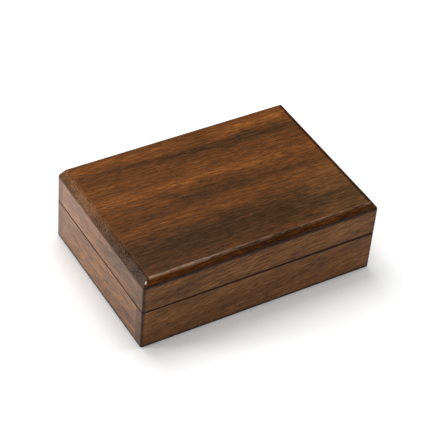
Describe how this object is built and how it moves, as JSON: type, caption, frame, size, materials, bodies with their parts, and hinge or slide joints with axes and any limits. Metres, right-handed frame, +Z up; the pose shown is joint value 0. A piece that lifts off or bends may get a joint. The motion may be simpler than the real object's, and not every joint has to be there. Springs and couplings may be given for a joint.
{
  "type": "shogi piece box",
  "caption": "Rectangular wooden box for shogi pieces, with a bevelled lid that lifts straight off an inner lip and closes flush with the base.",
  "frame": {"origin": "centre of the footprint, on the surface that the box stands on", "axes": "+X along the long side, -Y is the front, +Z up"},
  "size_m": [0.18, 0.124, 0.0595],
  "materials": {
    "base_wall_wood": "dark stained walnut with a semi-gloss clear finish",
    "lid_wall_wood": "dark stained walnut with a semi-gloss clear finish",
    "top_board_wood": "dark stained walnut with a semi-gloss clear finish",
    "lip_wood": "planed walnut, oiled and matt",
    "bottom_board_wood": "planed walnut, oiled and matt"
  },
  "bodies": {
    "base": {"base_front_wall": "base_wall_wood", "base_back_wall": "base_wall_wood", "base_left_wall": "base_wall_wood", "base_right_wall": "base_wall_wood", "bottom_board": "bottom_board_wood", "lip_front": "lip_wood", "lip_back": "lip_wood", "lip_left": "lip_wood", "lip_right": "lip_wood"},
    "lid": {"lid_front_wall": "lid_wall_wood", "lid_back_wall": "lid_wall_wood", "lid_left_wall": "lid_wall_wood", "lid_right_wall": "lid_wall_wood", "lid_top_board": "top_board_wood"}
  },
  "joints": [
    {"name": "lid_lift", "type": "slide", "parent": "base", "child": "lid", "axis": [0, 0, 1], "range_m": [0, 0.07]}
  ]
}
